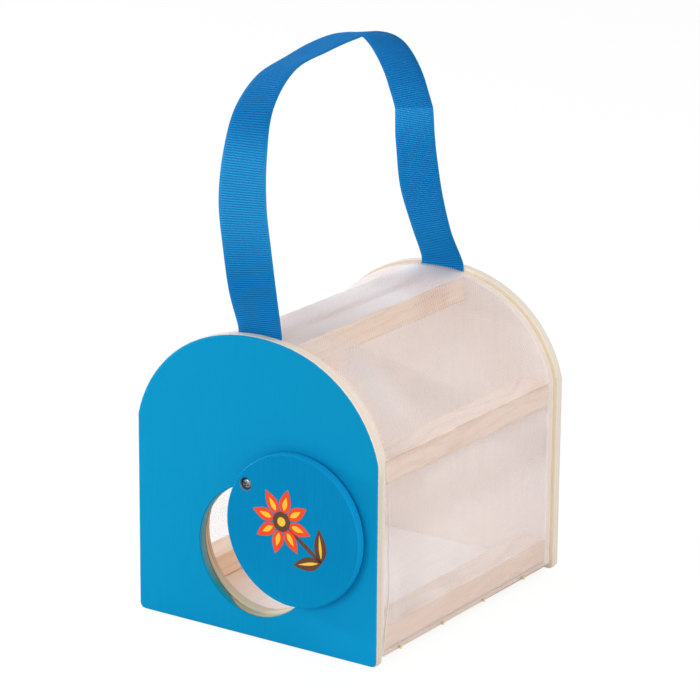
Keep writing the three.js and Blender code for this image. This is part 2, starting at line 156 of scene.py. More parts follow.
# Door: the disc's centre, its pivot and the radius of its counterbore
DISC_X = 25.2
DISC_Z = 61.1
PIVOT_X = -1.5
PIVOT_Z = 79.8
COUNTERBORE = 3.4


def linear(level):
    """One screen level from 0 to 255 as the renderer's linear value."""
    share = level / 255
    return share / 12.92 if share <= 0.04045 else ((share + 0.055) / 1.055) ** 2.4


def rgb(red, green, blue):
    """A colour written in screen levels."""
    return (linear(red), linear(green), linear(blue), 1.0)


def smooth(value):
    """A soft step from 0 to 1."""
    held = np.clip(value, 0.0, 1.0)
    return held * held * (3 - 2 * held)


class Finish:
    """One procedural material, with its place on the object measured in millimetres."""

    def __init__(self, name, roughness=0.6, specular=0.3, metallic=0.0):
        self.material = bpy.data.materials.new(name)
        self.material.use_nodes = True
        self.tree = self.material.node_tree
        self.shader = self.tree.nodes["Principled BSDF"]
        self.shader.inputs["Roughness"].default_value = roughness
        self.shader.inputs["Specular IOR Level"].default_value = specular
        self.shader.inputs["Metallic"].default_value = metallic
        coordinates = self.tree.nodes.new("ShaderNodeTexCoord")
        scale = self.tree.nodes.new("ShaderNodeVectorMath")
        scale.operation = "SCALE"
        scale.inputs["Scale"].default_value = 1 / MM
        self.tree.links.new(coordinates.outputs["Object"], scale.inputs[0])
        self.place = scale.outputs[0]
        split = self.tree.nodes.new("ShaderNodeSeparateXYZ")
        self.tree.links.new(self.place, split.inputs[0])
        self.x, self.y, self.z = split.outputs
        self.depth = self.minus(self.y, FRONT)
        self.facing = coordinates.outputs["Normal"]

    def put(self, socket, value):
        """Sets a socket to a number or colour, or links it."""
        if isinstance(value, bpy.types.NodeSocket):
            self.tree.links.new(value, socket)
        else:
            socket.default_value = value

    def math(self, operation, first, second=0.0):
        """The result of one operation on one or two values."""
        node = self.tree.nodes.new("ShaderNodeMath")
        node.operation = operation
        self.put(node.inputs[0], first)
        self.put(node.inputs[1], second)
        return node.outputs[0]

    def plus(self, first, second):
        return self.math("ADD", first, second)

    def minus(self, first, second):
        return self.math("SUBTRACT", first, second)

    def times(self, first, second):
        return self.math("MULTIPLY", first, second)

    def step(self, value, start, end, low=0.0, high=1.0):
        """A soft step between two values."""
        node = self.tree.nodes.new("ShaderNodeMapRange")
        node.interpolation_type = "SMOOTHSTEP"
        self.put(node.inputs["Value"], value)
        self.put(node.inputs["From Min"], start)
        self.put(node.inputs["From Max"], end)
        self.put(node.inputs["To Min"], low)
        self.put(node.inputs["To Max"], high)
        return node.outputs["Result"]

    def fade(self, value, start, end, share=1.0):
        """A soft step down, from a share to nothing."""
        return self.step(value, start, end, share, 0.0)

    def between(self, value, rise, fall):
        """1 between a stretch where a value rises and one where it falls, 0 outside them."""
        return self.times(self.step(value, *rise), self.fade(value, *fall))

    def mix(self, share, first, second):
        """A share of the way from one colour to another."""
        node = self.tree.nodes.new("ShaderNodeMix")
        node.data_type = "RGBA"
        self.put(node.inputs[0], share)
        self.put(node.inputs[6], first)
        self.put(node.inputs[7], second)
        return node.outputs[2]

    def noise(self, per_mm, stretch=(1, 1, 1), detail=3.0, shift=(0, 0, 0), warp=0.0):
        """Noise with so many waves in a millimetre, drawn out along an axis where stretch is small."""
        mapping = self.tree.nodes.new("ShaderNodeMapping")
        mapping.inputs["Scale"].default_value = stretch
        mapping.inputs["Location"].default_value = shift
        self.tree.links.new(self.place, mapping.inputs["Vector"])
        node = self.tree.nodes.new("ShaderNodeTexNoise")
        node.inputs["Scale"].default_value = per_mm
        node.inputs["Detail"].default_value = detail
        node.inputs["Distortion"].default_value = warp
        self.tree.links.new(mapping.outputs[0], node.inputs["Vector"])
        return node.outputs["Fac"]

    def ramp(self, value, stops):
        """Colours along a value from 0 to 1."""
        node = self.tree.nodes.new("ShaderNodeValToRGB")
        elements = node.color_ramp.elements
        while len(elements) < len(stops):
            elements.new(1.0)
        for element, (place, colour) in zip(elements, stops):
            element.position = place
            element.color = colour
        self.put(node.inputs[0], value)
        return node.outputs[0]

    def axis_of(self, vector, axis):
        """One part of a vector: X, Y or Z."""
        split = self.tree.nodes.new("ShaderNodeSeparateXYZ")
        self.tree.links.new(vector, split.inputs[0])
        return split.outputs[axis]

    def distance(self, x, z):
        """Distance from an axis that runs front to back."""
        across = self.minus(self.x, x)
        up = self.minus(self.z, z)
        return self.math("SQRT", self.plus(self.times(across, across), self.times(up, up)))

    def bump(self, height, rise):
        """Relief of so many millimetres."""
        node = self.tree.nodes.new("ShaderNodeBump")
        node.inputs["Strength"].default_value = 1.0
        node.inputs["Distance"].default_value = rise * MM
        self.put(node.inputs["Height"], height)
        self.tree.links.new(node.outputs[0], self.shader.inputs["Normal"])

    def colour(self, value):
        self.put(self.shader.inputs["Base Color"], value)

    def rough(self, value):
        self.put(self.shader.inputs["Roughness"], value)


# Plywood: outer plies, core and glue, and the glue lines as shares of the thickness
CREAM = rgb(243, 231, 219)
CREAM_CORE = rgb(238, 224, 208)
GLUE = rgb(228, 198, 158)
GLUE_LINES = (0.30, 0.72)
GLUE_OUTER = 0.03
GLUE_INNER = 0.04
PLY_WANDER = 0.5


def ply_wood(finish, across, thickness, light, dark, glue):
    """Colour of bare plywood: three plies across its thickness on the edges, fine fibres everywhere."""
    wander = finish.times(finish.noise(0.12, detail=2), PLY_WANDER)
    level = finish.math("DIVIDE", finish.plus(across, wander), thickness)
    first, second = GLUE_LINES
    plies = finish.ramp(level, [
        (0.0, light), (first - GLUE_OUTER, light), (first, glue), (first + GLUE_INNER, dark),
        (second - GLUE_INNER, dark), (second, glue), (second + GLUE_OUTER, light), (1.0, light)])
    fibres = finish.noise(1.4, stretch=(1, 1, 0.06), detail=5)
    shade = finish.step(fibres, 0.35, 0.7, 0.0, 0.22)
    return finish.mix(shade, plies, finish.mix(0.35, dark, glue))


# Front panel: depths where the paint ends on the edges and in the hole, with a dark line past it there,
# heights in the hole from its centre, heights where the sides' cut passes into the arch's, and the
# lower right corner of the face, painted lighter as painted light
PAINT_EDGE = (0.55, 0.75)
PAINT_WOBBLE = 0.25
PAINT_IN_HOLE = (0.6, 4.6)
PAINT_END = (-0.1, 0.05)
DARK_LINE_END = (0.15, 0.35)
WALL_DEPTHS = (0.5, 4.4)
HOLE_FOOT = (-HOLE_RADIUS, -HOLE_RADIUS * 0.8)
HOLE_LOW_SIDE = (-HOLE_RADIUS * 0.75, -HOLE_RADIUS * 0.3)
HOLE_RIM = (HOLE_RADIUS + 0.8, HOLE_RADIUS + 1.3)
ARCH_START = (92.0, 102.0)
ARCH_CUT = (CREAM, CREAM_CORE, rgb(232, 212, 182))
SIDE_CUT = (rgb(231, 217, 203), rgb(226, 210, 193), rgb(220, 198, 168))
PAINTED_LIGHT_ACROSS = (5.0, 60.0)
PAINTED_LIGHT_UP = (10.0, 70.0)


def hole_wall(finish, depth):
    """Colour of the panel's hole: thin paint that reaches deepest above the foot, then bare wood."""
    up = finish.minus(finish.z, HOLE_HEIGHT)
    inward = finish.step(depth, *WALL_DEPTHS)
    teal = finish.mix(inward, rgb(92, 170, 186), rgb(146, 176, 172))
    low_teal = finish.mix(inward, rgb(24, 164, 190), rgb(70, 164, 170))
    teal = finish.mix(finish.step(up, *HOLE_LOW_SIDE), low_teal, teal)
    tan = finish.ramp(finish.math("DIVIDE", depth, PLY), [
        (0.0, rgb(196, 164, 108)), (0.24, rgb(214, 200, 164)), (0.70, rgb(226, 210, 176)),
        (0.88, rgb(200, 174, 132)), (0.97, rgb(140, 96, 58))])
    tan = finish.mix(finish.fade(up, *HOLE_FOOT), tan, rgb(194, 194, 166))
    past_paint = finish.minus(depth, finish.step(up, *HOLE_FOOT, *PAINT_IN_HOLE))
    bare = finish.mix(finish.step(past_paint, *DARK_LINE_END), rgb(146, 104, 60), tan)
    return finish.mix(finish.step(past_paint, *PAINT_END), teal, bare)


def panel_finish(name):
    """The front panel: satin blue on its face and the turn of its edges, bare plies on the edges."""
    finish = Finish(name, roughness=0.42, specular=0.03)
    depth = finish.plus(finish.depth, finish.times(finish.noise(1.1, detail=2), PAINT_WOBBLE))
    streaks = finish.noise(1.6, stretch=(1, 1, 0.035), detail=4)
    broad = finish.noise(0.03, detail=2)
    blue = finish.mix(finish.step(streaks, 0.3, 0.75), rgb(4, 146, 195), rgb(6, 149, 199))
    blue = finish.mix(finish.step(broad, 0.35, 0.7, 0.0, 0.4), blue, rgb(5, 146, 196))
    # Painted light: the face's lower right corner is a lighter blue
    corner = finish.times(finish.step(finish.x, *PAINTED_LIGHT_ACROSS), finish.fade(finish.z, *PAINTED_LIGHT_UP))
    blue = finish.mix(corner, blue, rgb(8, 153, 206))
    arch_cut = ply_wood(finish, finish.depth, PLY, *ARCH_CUT)
    side_cut = ply_wood(finish, finish.depth, PLY, *SIDE_CUT)
    wood = finish.mix(finish.step(finish.z, *ARCH_START), side_cut, arch_cut)
    near_hole = finish.fade(finish.distance(0.0, HOLE_HEIGHT), *HOLE_RIM)
    bare = finish.mix(near_hole, wood, hole_wall(finish, depth))
    finish.colour(finish.mix(finish.fade(depth, *PAINT_EDGE), bare, blue))
    finish.rough(finish.plus(finish.times(streaks, 0.15), 0.38))
    finish.bump(streaks, 0.02)
    return finish.material


# Disc: heights between which its foot is painted lighter as painted light, reach of the counterbore's wall,
# and heights about the pivot where the painted grey shade on the counterbore's upper side gives way to bare
# wood
DISC_PAINTED_LIGHT = (16.0, 56.0)
BORE_EDGE = (COUNTERBORE - 0.1, COUNTERBORE + 0.05)
BORE_SHADE_EDGE = (-1.2, 0.6)


def disc_finish(name):
    """The door disc: blue with painted light at its foot and rim; bare wood in its counterbore, painted
    shade above.
    """
    finish = Finish(name, roughness=0.3, specular=0.02)
    streaks = finish.noise(1.6, stretch=(0.6, 1, 0.05), detail=4)
    broad = finish.noise(0.04, detail=2)
    blue = finish.mix(finish.step(streaks, 0.3, 0.75), rgb(3, 134, 187), rgb(4, 137, 190))
    blue = finish.mix(finish.step(broad, 0.35, 0.7, 0.0, 0.5), blue, rgb(3, 133, 187))
    # Painted light: the disc's foot is a lighter blue
    blue = finish.mix(finish.fade(finish.z, *DISC_PAINTED_LIGHT, 0.8), blue, rgb(3, 144, 195))
    # Painted highlight: the rim, and every face that does not look to the front, is a lighter blue
    painted_rim_highlight = finish.step(finish.axis_of(finish.facing, "Y"), -0.9, -0.4)
    blue = finish.mix(painted_rim_highlight, blue, rgb(16, 154, 208))
    bare = finish.mix(finish.noise(0.8, detail=3), rgb(236, 218, 186), rgb(216, 190, 150))
    # Painted shade: the counterbore's upper side is grey, its lower side bare wood
    below_bore_shade = finish.fade(finish.minus(finish.z, PIVOT_Z), *BORE_SHADE_EDGE)
    bare = finish.mix(below_bore_shade, rgb(150, 146, 142), bare)
    in_bore = finish.fade(finish.distance(PIVOT_X, PIVOT_Z), *BORE_EDGE)
    finish.colour(finish.mix(in_bore, blue, bare))
    finish.rough(finish.plus(finish.times(streaks, 0.1), 0.22))
    finish.bump(streaks, 0.02)
    return finish.material


# End boards: depth of a face's skin, the stretch behind the ribbon where the painted shade on its left
# ends, and the inner board's hole
FACE_SKIN = (0.15, 0.3)
LEFT_SHADE_END = (-14.0, 14.0)
BOARD_HOLE_RIM = (BOARD_HOLE_RADIUS + 0.7, BOARD_HOLE_RADIUS + 1.0)
BOARD_HOLE_LOW_SIDE = (BOARD_HOLE_HEIGHT - BOARD_HOLE_RADIUS, HOLE_HEIGHT - 8)


def board_finish(name, start, face, left=None, cut=None, hole=False):
    """A bare plywood end board whose front is at the depth start; left and cut are painted shade on its
    left and edges.
    """
    finish = Finish(name, roughness=0.62, specular=0.2)
    across = finish.minus(finish.depth, start)
    # A given cut colour is painted shade on the edges
    wood = ply_wood(finish, across, PLY, cut or CREAM, cut or CREAM_CORE, GLUE)
    grain = finish.noise(0.5, stretch=(1, 1, 0.05), detail=5, warp=0.4)
    skin = finish.mix(finish.step(grain, 0.42, 0.68, 0.0, 0.14), face, rgb(230, 210, 192))
    # Painted shade: a given left colour darkens the face's left half
    if left:
        skin = finish.mix(finish.step(finish.x, *LEFT_SHADE_END), left, skin)
    colour = finish.mix(finish.fade(across, *FACE_SKIN), wood, skin)
    if hole:
        wall = finish.ramp(finish.math("DIVIDE", across, PLY), [
            (0.0, rgb(150, 104, 66)), (0.10, rgb(238, 202, 164)), (0.45, rgb(246, 216, 182)),
            (0.55, rgb(206, 162, 122)), (0.64, rgb(240, 206, 172)), (0.92, rgb(226, 188, 152)),
            (1.0, rgb(150, 104, 68))])
        wall = finish.mix(finish.fade(finish.z, *BOARD_HOLE_LOW_SIDE), wall, rgb(232, 222, 196))
        near_hole = finish.fade(finish.distance(0.0, BOARD_HOLE_HEIGHT), *BOARD_HOLE_RIM)
        colour = finish.mix(near_hole, colour, wall)
    finish.colour(colour)
    finish.bump(grain, 0.03)
    return finish.material


# Floor board: painted shade along its lower edge towards the rear, back and up, and painted shade beside
# the left rail
EDGE_SHADE_BACK = (88.0, 120.0)
EDGE_SHADE_UP = (0.5, 0.9)
FLOOR_LEFT_SHADE = (-46.0, -10.0)


def floor_finish(name):
    """The thin floor board, its grain along the cage."""
    finish = Finish(name, roughness=0.65, specular=0.2)
    up = finish.minus(finish.z, FLOOR_FOOT)
    plies = finish.ramp(finish.math("DIVIDE", up, FLOOR_THICKNESS), [
        (0.0, rgb(246, 224, 176)), (0.14, rgb(252, 238, 208)), (0.26, rgb(212, 168, 130)),
        (0.4, rgb(236, 204, 176)), (0.96, rgb(238, 208, 182)), (1.0, rgb(253, 247, 246))])
    # Painted shade along the lower edge of the rear part
    painted_edge_shade = finish.times(finish.step(finish.depth, *EDGE_SHADE_BACK), finish.fade(up, *EDGE_SHADE_UP))
    plies = finish.mix(painted_edge_shade, plies, rgb(178, 108, 62))
    # Painted shade: browner beside the left rail
    plies = finish.mix(finish.fade(finish.x, *FLOOR_LEFT_SHADE, 0.7), plies, rgb(249, 225, 208))
    grain = finish.noise(0.5, stretch=(1, 0.05, 1), detail=5, warp=0.4)
    finish.colour(finish.mix(finish.step(grain, 0.42, 0.68, 0.0, 0.12), plies, rgb(228, 208, 192)))
    finish.bump(grain, 0.03)
    return finish.material


# Rails: growth rings' tilt, sway and rate, heights between the low, middle and upper rails, and the
# brown figure of the upper ones
RING_ACROSS = 0.55
RING_UP = 0.8
RING_SWAY = 22.0
RING_RATE = 1.3
ABOVE_LOW_RAILS = (60.0, 90.0)
ABOVE_MIDDLE_RAILS = (106.0, 114.0)
FIGURE_BACK = ((104.0, 124.0), (134.0, 152.0))
FIGURE_UP = (130.0, 134.0)

# Rounded edges of the rails: place across and up, width of the darker wood along them, and its share;
# where a bottom rail meets the floor board this darkening is painted shade
ARRISES = [
    (67.7, 100.74, 4.2, 0.34), (67.7, 88.24, 2.0, 0.45), (67.7, 17.7, 1.5, 0.15),
    # The first entry here darkens the seam of the bottom rails and the floor board: painted shade
    (67.7, 5.2, 1.4, 0.6), (17.3, 135.0, 1.5, 0.3)]


def pine_base(finish, fibres):
    """Colour of pine by height, lighter on faces that look up as painted light; also that share of looking
    up.
    """
    fibrous = finish.step(fibres, 0.35, 0.7)

    def grained(light, dark):
        return finish.mix(fibrous, rgb(*light), rgb(*dark))

    high = finish.step(finish.z, *ABOVE_LOW_RAILS)
    upper = finish.step(finish.z, *ABOVE_MIDDLE_RAILS)
    side = finish.mix(high, grained((247, 217, 191), (240, 208, 179)),
                      grained((252, 225, 201), (246, 216, 189)))
    side = finish.mix(upper, side, grained((252, 221, 188), (246, 211, 176)))
    # Painted light: faces that look up take a lighter copy of the pine
    top = finish.mix(high, grained((247, 228, 212), (241, 219, 200)),
                     grained((252, 232, 216), (247, 224, 205)))
    upward = finish.step(finish.axis_of(finish.facing, "Z"), 0.5, 0.9)
    return finish.mix(upward, side, top), upward


def pine_finish(name):
    """Planed softwood, pale, with faint grain, short flecks and darker arrises along the cage."""
    finish = Finish(name, roughness=0.58, specular=0.2)
    rings = finish.plus(finish.times(finish.x, RING_ACROSS), finish.times(finish.z, RING_UP))
    rings = finish.plus(rings, finish.times(finish.noise(0.012, detail=2), RING_SWAY))
    late = finish.step(finish.math("SINE", finish.times(rings, RING_RATE)), 0.3, 1.0)
    fibres = finish.noise(1.1, stretch=(1, 0.05, 1), detail=4)
    flecks = finish.step(finish.noise(0.9, stretch=(1, 0.12, 1), detail=2, shift=(5, 2, 9)), 0.66, 0.74)
    patches = finish.noise(0.03, stretch=(1, 0.7, 1), detail=2, shift=(3, 8, 1))
    base, upward = pine_base(finish, fibres)
    base = finish.mix(finish.times(late, 0.2), base, rgb(210, 164, 124))
    base = finish.mix(finish.times(flecks, 0.42), base, rgb(190, 128, 90))
    base = finish.mix(finish.step(patches, 0.6, 0.72, 0.0, 0.25), base, rgb(204, 152, 112))
    sideward = finish.minus(1.0, finish.times(upward, 0.8))
    for x, z, width, share in ARRISES:
        wear_and_shade_noise = finish.noise(0.25, stretch=(1, 0.2, 1), detail=3, shift=(z, 0, 0))
        # Darker wood along the arrises, sparing faces that look up; at the floor board's seam it is painted
        # shade
        wear_and_shade = finish.times(finish.step(wear_and_shade_noise, 0.36, 0.6, 0.2, 1.0), sideward)
        for side_x in (-x, x):
            near = finish.fade(finish.distance(side_x, z), width * 0.2, width, share)
            base = finish.mix(finish.times(near, wear_and_shade), base, rgb(172, 112, 84))
    figure = finish.times(finish.between(finish.depth, *FIGURE_BACK), finish.step(finish.z, *FIGURE_UP))
    figure = finish.times(figure, finish.step(finish.noise(0.06, detail=2), 0.25, 0.6))
    finish.colour(finish.mix(finish.times(figure, 0.42), base, rgb(200, 136, 92)))
    finish.bump(finish.plus(fibres, finish.times(late, 0.4)), 0.04)
    return finish.material


# Threads: depths between which a net's darker front, painted shade, passes into its lighter rear, painted
# light
THREAD_SHADE_TO_LIGHT = (40.0, 120.0)


def thread_finish(name, share, ends=None):
    """White polyester thread that lets a share of the light through; ends are its painted shade at the
    front and painted light at the rear.
    """
    finish = Finish(name, roughness=0.5, specular=0.2)
    slub = finish.noise(0.5, detail=3)
    white = finish.mix(slub, rgb(244, 242, 245), rgb(252, 251, 253))
    if ends:
        # Painted shade at the front of the net, painted light at its rear
        white = finish.mix(finish.step(finish.depth, *THREAD_SHADE_TO_LIGHT), *ends)
    finish.colour(white)
    tree = finish.tree
    through = tree.nodes.new("ShaderNodeBsdfTranslucent")
    finish.put(through.inputs["Color"], white)
    both = tree.nodes.new("ShaderNodeMixShader")
    both.inputs[0].default_value = share
    tree.links.new(finish.shader.outputs[0], both.inputs[1])
    tree.links.new(through.outputs[0], both.inputs[2])
    tree.links.new(both.outputs[0], tree.nodes["Material Output"].inputs["Surface"])
    return finish.material


# Ribbon: the painted sheen on the bulge of its front limb, the painted highlight on the stretch below its
# rear limb's crease, and the painted shade at its top
PAINTED_SHEEN = 0.55
SHEEN_UP = ((176.0, 214.0), (236.0, 262.0))
SHEEN_BACK = (10.0, 30.0)
CREASE_HIGHLIGHT = 0.4
HIGHLIGHT_LENGTH = 22.0
HIGHLIGHT_BACK = (100.0, 104.0)
CREASE = RIBBON_EXIT + CREASE_HEIGHT
CREASE_EDGE = 0.6
CREASE_LEAN = 0.17
RIBBON_TOP_SHADE = (238.0, 262.0)


def ribbon_finish(name):
    """Blue grosgrain with painted shade in the grooves between its ribs and at its top, and painted
    highlights.
    """
    finish = Finish(name, roughness=0.55, specular=0.02)
    cloud = finish.noise(0.06, detail=3)
    thread = finish.noise(3.0, stretch=(1, 0.4, 0.4), detail=3)
    ribs = finish.tree.nodes.new("ShaderNodeAttribute")
    ribs.attribute_name = RIB_HEIGHT
    blue = finish.mix(finish.step(cloud, 0.3, 0.7), rgb(25, 137, 209), rgb(29, 141, 213))
    blue = finish.mix(finish.step(thread, 0.3, 0.75, 0.0, 0.2), blue, rgb(21, 128, 202))
    # Painted sheen on the bulge of the front limb
    in_front = finish.fade(finish.depth, *SHEEN_BACK, PAINTED_SHEEN)
    sheen_patch = finish.times(finish.between(finish.z, *SHEEN_UP), in_front)
    level = finish.minus(finish.z, finish.times(finish.x, CREASE_LEAN))
    # Painted highlight on the stretch below the rear limb's crease
    below = finish.between(level, (CREASE - HIGHLIGHT_LENGTH, CREASE), (CREASE, CREASE + CREASE_EDGE))
    highlight_below_crease = finish.times(below, finish.step(finish.depth, *HIGHLIGHT_BACK, 0.0, CREASE_HIGHLIGHT))
    light = finish.math("MAXIMUM", sheen_patch, highlight_below_crease)
    blue = finish.mix(light, blue, rgb(58, 176, 236))
    # Painted shade: the ribbon's top is a darker blue
    blue = finish.mix(finish.step(finish.z, *RIBBON_TOP_SHADE, 0.0, 0.8), blue, rgb(20, 124, 196))
    # Painted shade in the grooves between the ribs, lighter where the painted light falls
    groove = finish.mix(light, rgb(10, 92, 150), rgb(34, 130, 190))
    finish.colour(finish.mix(ribs.outputs["Fac"], groove, blue))
    return finish.material


def metal_finish(name, light, dark, roughness):
    """Bare metal with a faint brushed unevenness."""
    finish = Finish(name, roughness=roughness, specular=0.5, metallic=1.0)
    stain = finish.noise(0.7, detail=4)
    finish.colour(finish.mix(finish.step(stain, 0.35, 0.7), light, dark))
    finish.rough(finish.plus(finish.times(stain, 0.2), roughness))
    return finish.material


def ink_finish(name, light, dark):
    """Flat printing ink that lets the grain of the paint show a little."""
    finish = Finish(name, roughness=0.5, specular=0.15)
    grain = finish.noise(1.3, stretch=(1, 1, 0.1), detail=4)
    finish.colour(finish.mix(finish.step(grain, 0.35, 0.7), light, dark))
    return finish.material


# Shading of the solid pieces: corners nearer than the weld are one, and edges above the angle stay sharp
WELD = 0.005
SHARP_ANGLE = math.radians(40)


def shading_group():
    """A modifier group that joins the facets' corners and shades them smooth below an angle."""
    group = bpy.data.node_groups.new("smooth_edges", "GeometryNodeTree")
    group.interface.new_socket("Geometry", in_out="INPUT", socket_type="NodeSocketGeometry")
    group.interface.new_socket("Geometry", in_out="OUTPUT", socket_type="NodeSocketGeometry")
    start = group.nodes.new("NodeGroupInput")
    end = group.nodes.new("NodeGroupOutput")
    merge = group.nodes.new("GeometryNodeMergeByDistance")
    merge.inputs["Distance"].default_value = WELD * MM
    edge_angle = group.nodes.new("GeometryNodeInputMeshEdgeAngle")
    compare = group.nodes.new("FunctionNodeCompare")
    compare.operation = "GREATER_THAN"
    compare.inputs["B"].default_value = SHARP_ANGLE
    normal = group.nodes.new("GeometryNodeSetMeshNormal")
    normal.mode = "SHARPNESS"
    normal.inputs["Remove Custom"].default_value = True
    normal.inputs["Face Sharpness"].default_value = False
    group.links.new(start.outputs[0], merge.inputs["Geometry"])
    group.links.new(edge_angle.outputs["Unsigned Angle"], compare.inputs["A"])
    group.links.new(merge.outputs["Geometry"], normal.inputs["Mesh"])
    group.links.new(compare.outputs["Result"], normal.inputs["Edge Sharpness"])
    group.links.new(normal.outputs[0], end.inputs[0])
    return group


SMOOTH_EDGES = shading_group()


def dress(name, material):
    """Gives a CAD node its finish and smooth shading."""
    node = nodes[name]
    node.data.materials.clear()
    node.data.materials.append(material)
    modifier = node.modifiers.new("smooth_edges", "NODES")
    modifier.node_group = SMOOTH_EDGES
    weighted = node.modifiers.new("flat_faces", "WEIGHTED_NORMAL")
    weighted.keep_sharp = True


def add_mesh(name, points, faces, material, body):
    """A new piece from points in millimetres, in the shared frame."""
    mesh = bpy.data.meshes.new(name)
    scaled = np.asarray(points, float) * MM
    if isinstance(faces, np.ndarray):
        mesh.vertices.add(len(scaled))
        mesh.vertices.foreach_set("co", scaled.astype(np.float32).ravel())
        mesh.loops.add(faces.size)
        mesh.loops.foreach_set("vertex_index", faces.astype(np.int32).ravel())
        mesh.polygons.add(len(faces))
        mesh.polygons.foreach_set("loop_start", np.arange(0, faces.size, faces.shape[1], dtype=np.int32))
        mesh.update(calc_edges=True)
    else:
        mesh.from_pydata(scaled.tolist(), [], faces)
    mesh.materials.append(material)
    mesh.polygons.foreach_set("use_smooth", np.ones(len(mesh.polygons), bool))
    mesh.update()
    piece = bpy.data.objects.new(name, mesh)
    bpy.context.scene.collection.objects.link(piece)
    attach(piece, body)
    return piece


def map_flat(piece, flat):
    """Lays a sheet's surface map out as it was cut, from each point's place on the flat sheet."""
    low = flat.min(axis=0)
    share = (flat - low) / (flat.max(axis=0) - low).max()
    corners = np.empty(len(piece.data.loops), np.int32)
    piece.data.loops.foreach_get("vertex_index", corners)
    layer = piece.data.uv_layers.new(name="OFBake")
    layer.data.foreach_set("uv", share[corners].astype(np.float32).ravel())


# The arch that the ends share: a cubic curve from the shoulder to the crown
ARCH = np.array([
    (HALF_WIDTH, SHOULDER_HEIGHT),
    (HALF_WIDTH - SHOULDER_PULL * math.sin(SHOULDER_LEAN),
     SHOULDER_HEIGHT + SHOULDER_PULL * math.cos(SHOULDER_LEAN)),
    (CROWN_PULL, CROWN_HEIGHT),
    (0.0, CROWN_HEIGHT)])


def arch_point(step, inset):
    """A point of the arch set in from the panel's edge; step runs from the shoulder, 0, to the crown, 1."""
    t = np.asarray(step, float)[..., None]
    a, b, c, d = ARCH
    point = a * (1 - t) ** 3 + 3 * b * t * (1 - t) ** 2 + 3 * c * t ** 2 * (1 - t) + d * t ** 3
    along = 3 * (b - a) * (1 - t) ** 2 + 6 * (c - b) * t * (1 - t) + 3 * (d - c) * t ** 2
    along = along / np.linalg.norm(along, axis=-1, keepdims=True)
    return point + inset * np.stack([-along[..., 1], along[..., 0]], axis=-1)


# The netting's section: half the top, a roof and a wall on each side
STEPS = np.linspace(0, 1, 2001)
UPPER_STEP = float(np.interp(-NET_UPPER, -arch_point(STEPS, NET_INSET)[:, 0], STEPS))
UPPER = arch_point(UPPER_STEP, NET_INSET)
SHOULDER = np.array([NET_WALL, NET_SHOULDER])
HALF_TOP = NET_UPPER
ROOF = float(np.linalg.norm(UPPER - SHOULDER))
WALL = NET_SHOULDER - NET_FOOT
ROOF_END = HALF_TOP + ROOF
NET_HALF = HALF_TOP + ROOF + WALL


def net_section(across, depth):
    """The netting's x and z, without the roundness over the rails; across is 0 at the crown."""
    reach = np.abs(across)
    free = smooth(np.minimum(depth - BOARD_FRONT, BOARD_REAR - depth) / SADDLE)[..., None]
    top_share = np.clip(reach / HALF_TOP, 0, 1)
    top_arch = arch_point(1 + (UPPER_STEP - 1) * top_share, NET_INSET)
    top_flat = np.stack([top_share * NET_UPPER, np.full_like(reach, UPPER[1])], axis=-1)
    roof_share = np.clip((reach - HALF_TOP) / ROOF, 0, 1)
    roof_arch = arch_point(UPPER_STEP * (1 - roof_share), NET_INSET)
    roof_flat = UPPER + (SHOULDER - UPPER) * roof_share[..., None]
    wall = np.stack([np.full_like(reach, NET_WALL), NET_SHOULDER - (reach - HALF_TOP - ROOF)], axis=-1)
    top = top_arch + (top_flat - top_arch) * free
    roof = roof_arch + (roof_flat - roof_arch) * free
    on_roof = (reach > HALF_TOP)[..., None]
    on_wall = (reach > ROOF_END)[..., None]
    section = np.where(on_wall, wall, np.where(on_roof, roof, top))
    section[..., 0] *= np.where(across < 0, -1, 1)
    return section


def net_surface(across, depth):
    """The netting's points and outward normals."""
    taps = np.linspace(-BEND, BEND, BEND_TAPS)

    def rounded(place, level):
        section = sum(net_section(place + tap, level) for tap in taps) / len(taps)
        return np.stack([section[..., 0], level + FRONT, section[..., 1]], axis=-1)

    point = rounded(across, depth)
    sideways = rounded(across + SLOPE_STEP, depth) - rounded(across - SLOPE_STEP, depth)
    lengthways = rounded(across, depth + SLOPE_STEP) - rounded(across, depth - SLOPE_STEP)
    normal = np.cross(lengthways, sideways)
    normal /= np.linalg.norm(normal, axis=-1, keepdims=True)
    return point, normal


def lines_between(ends, step):
    """Numbers of the evenly spaced lines that lie between two ends."""
    return np.arange(math.ceil(ends[0] / step), math.floor(ends[1] / step) + 1)


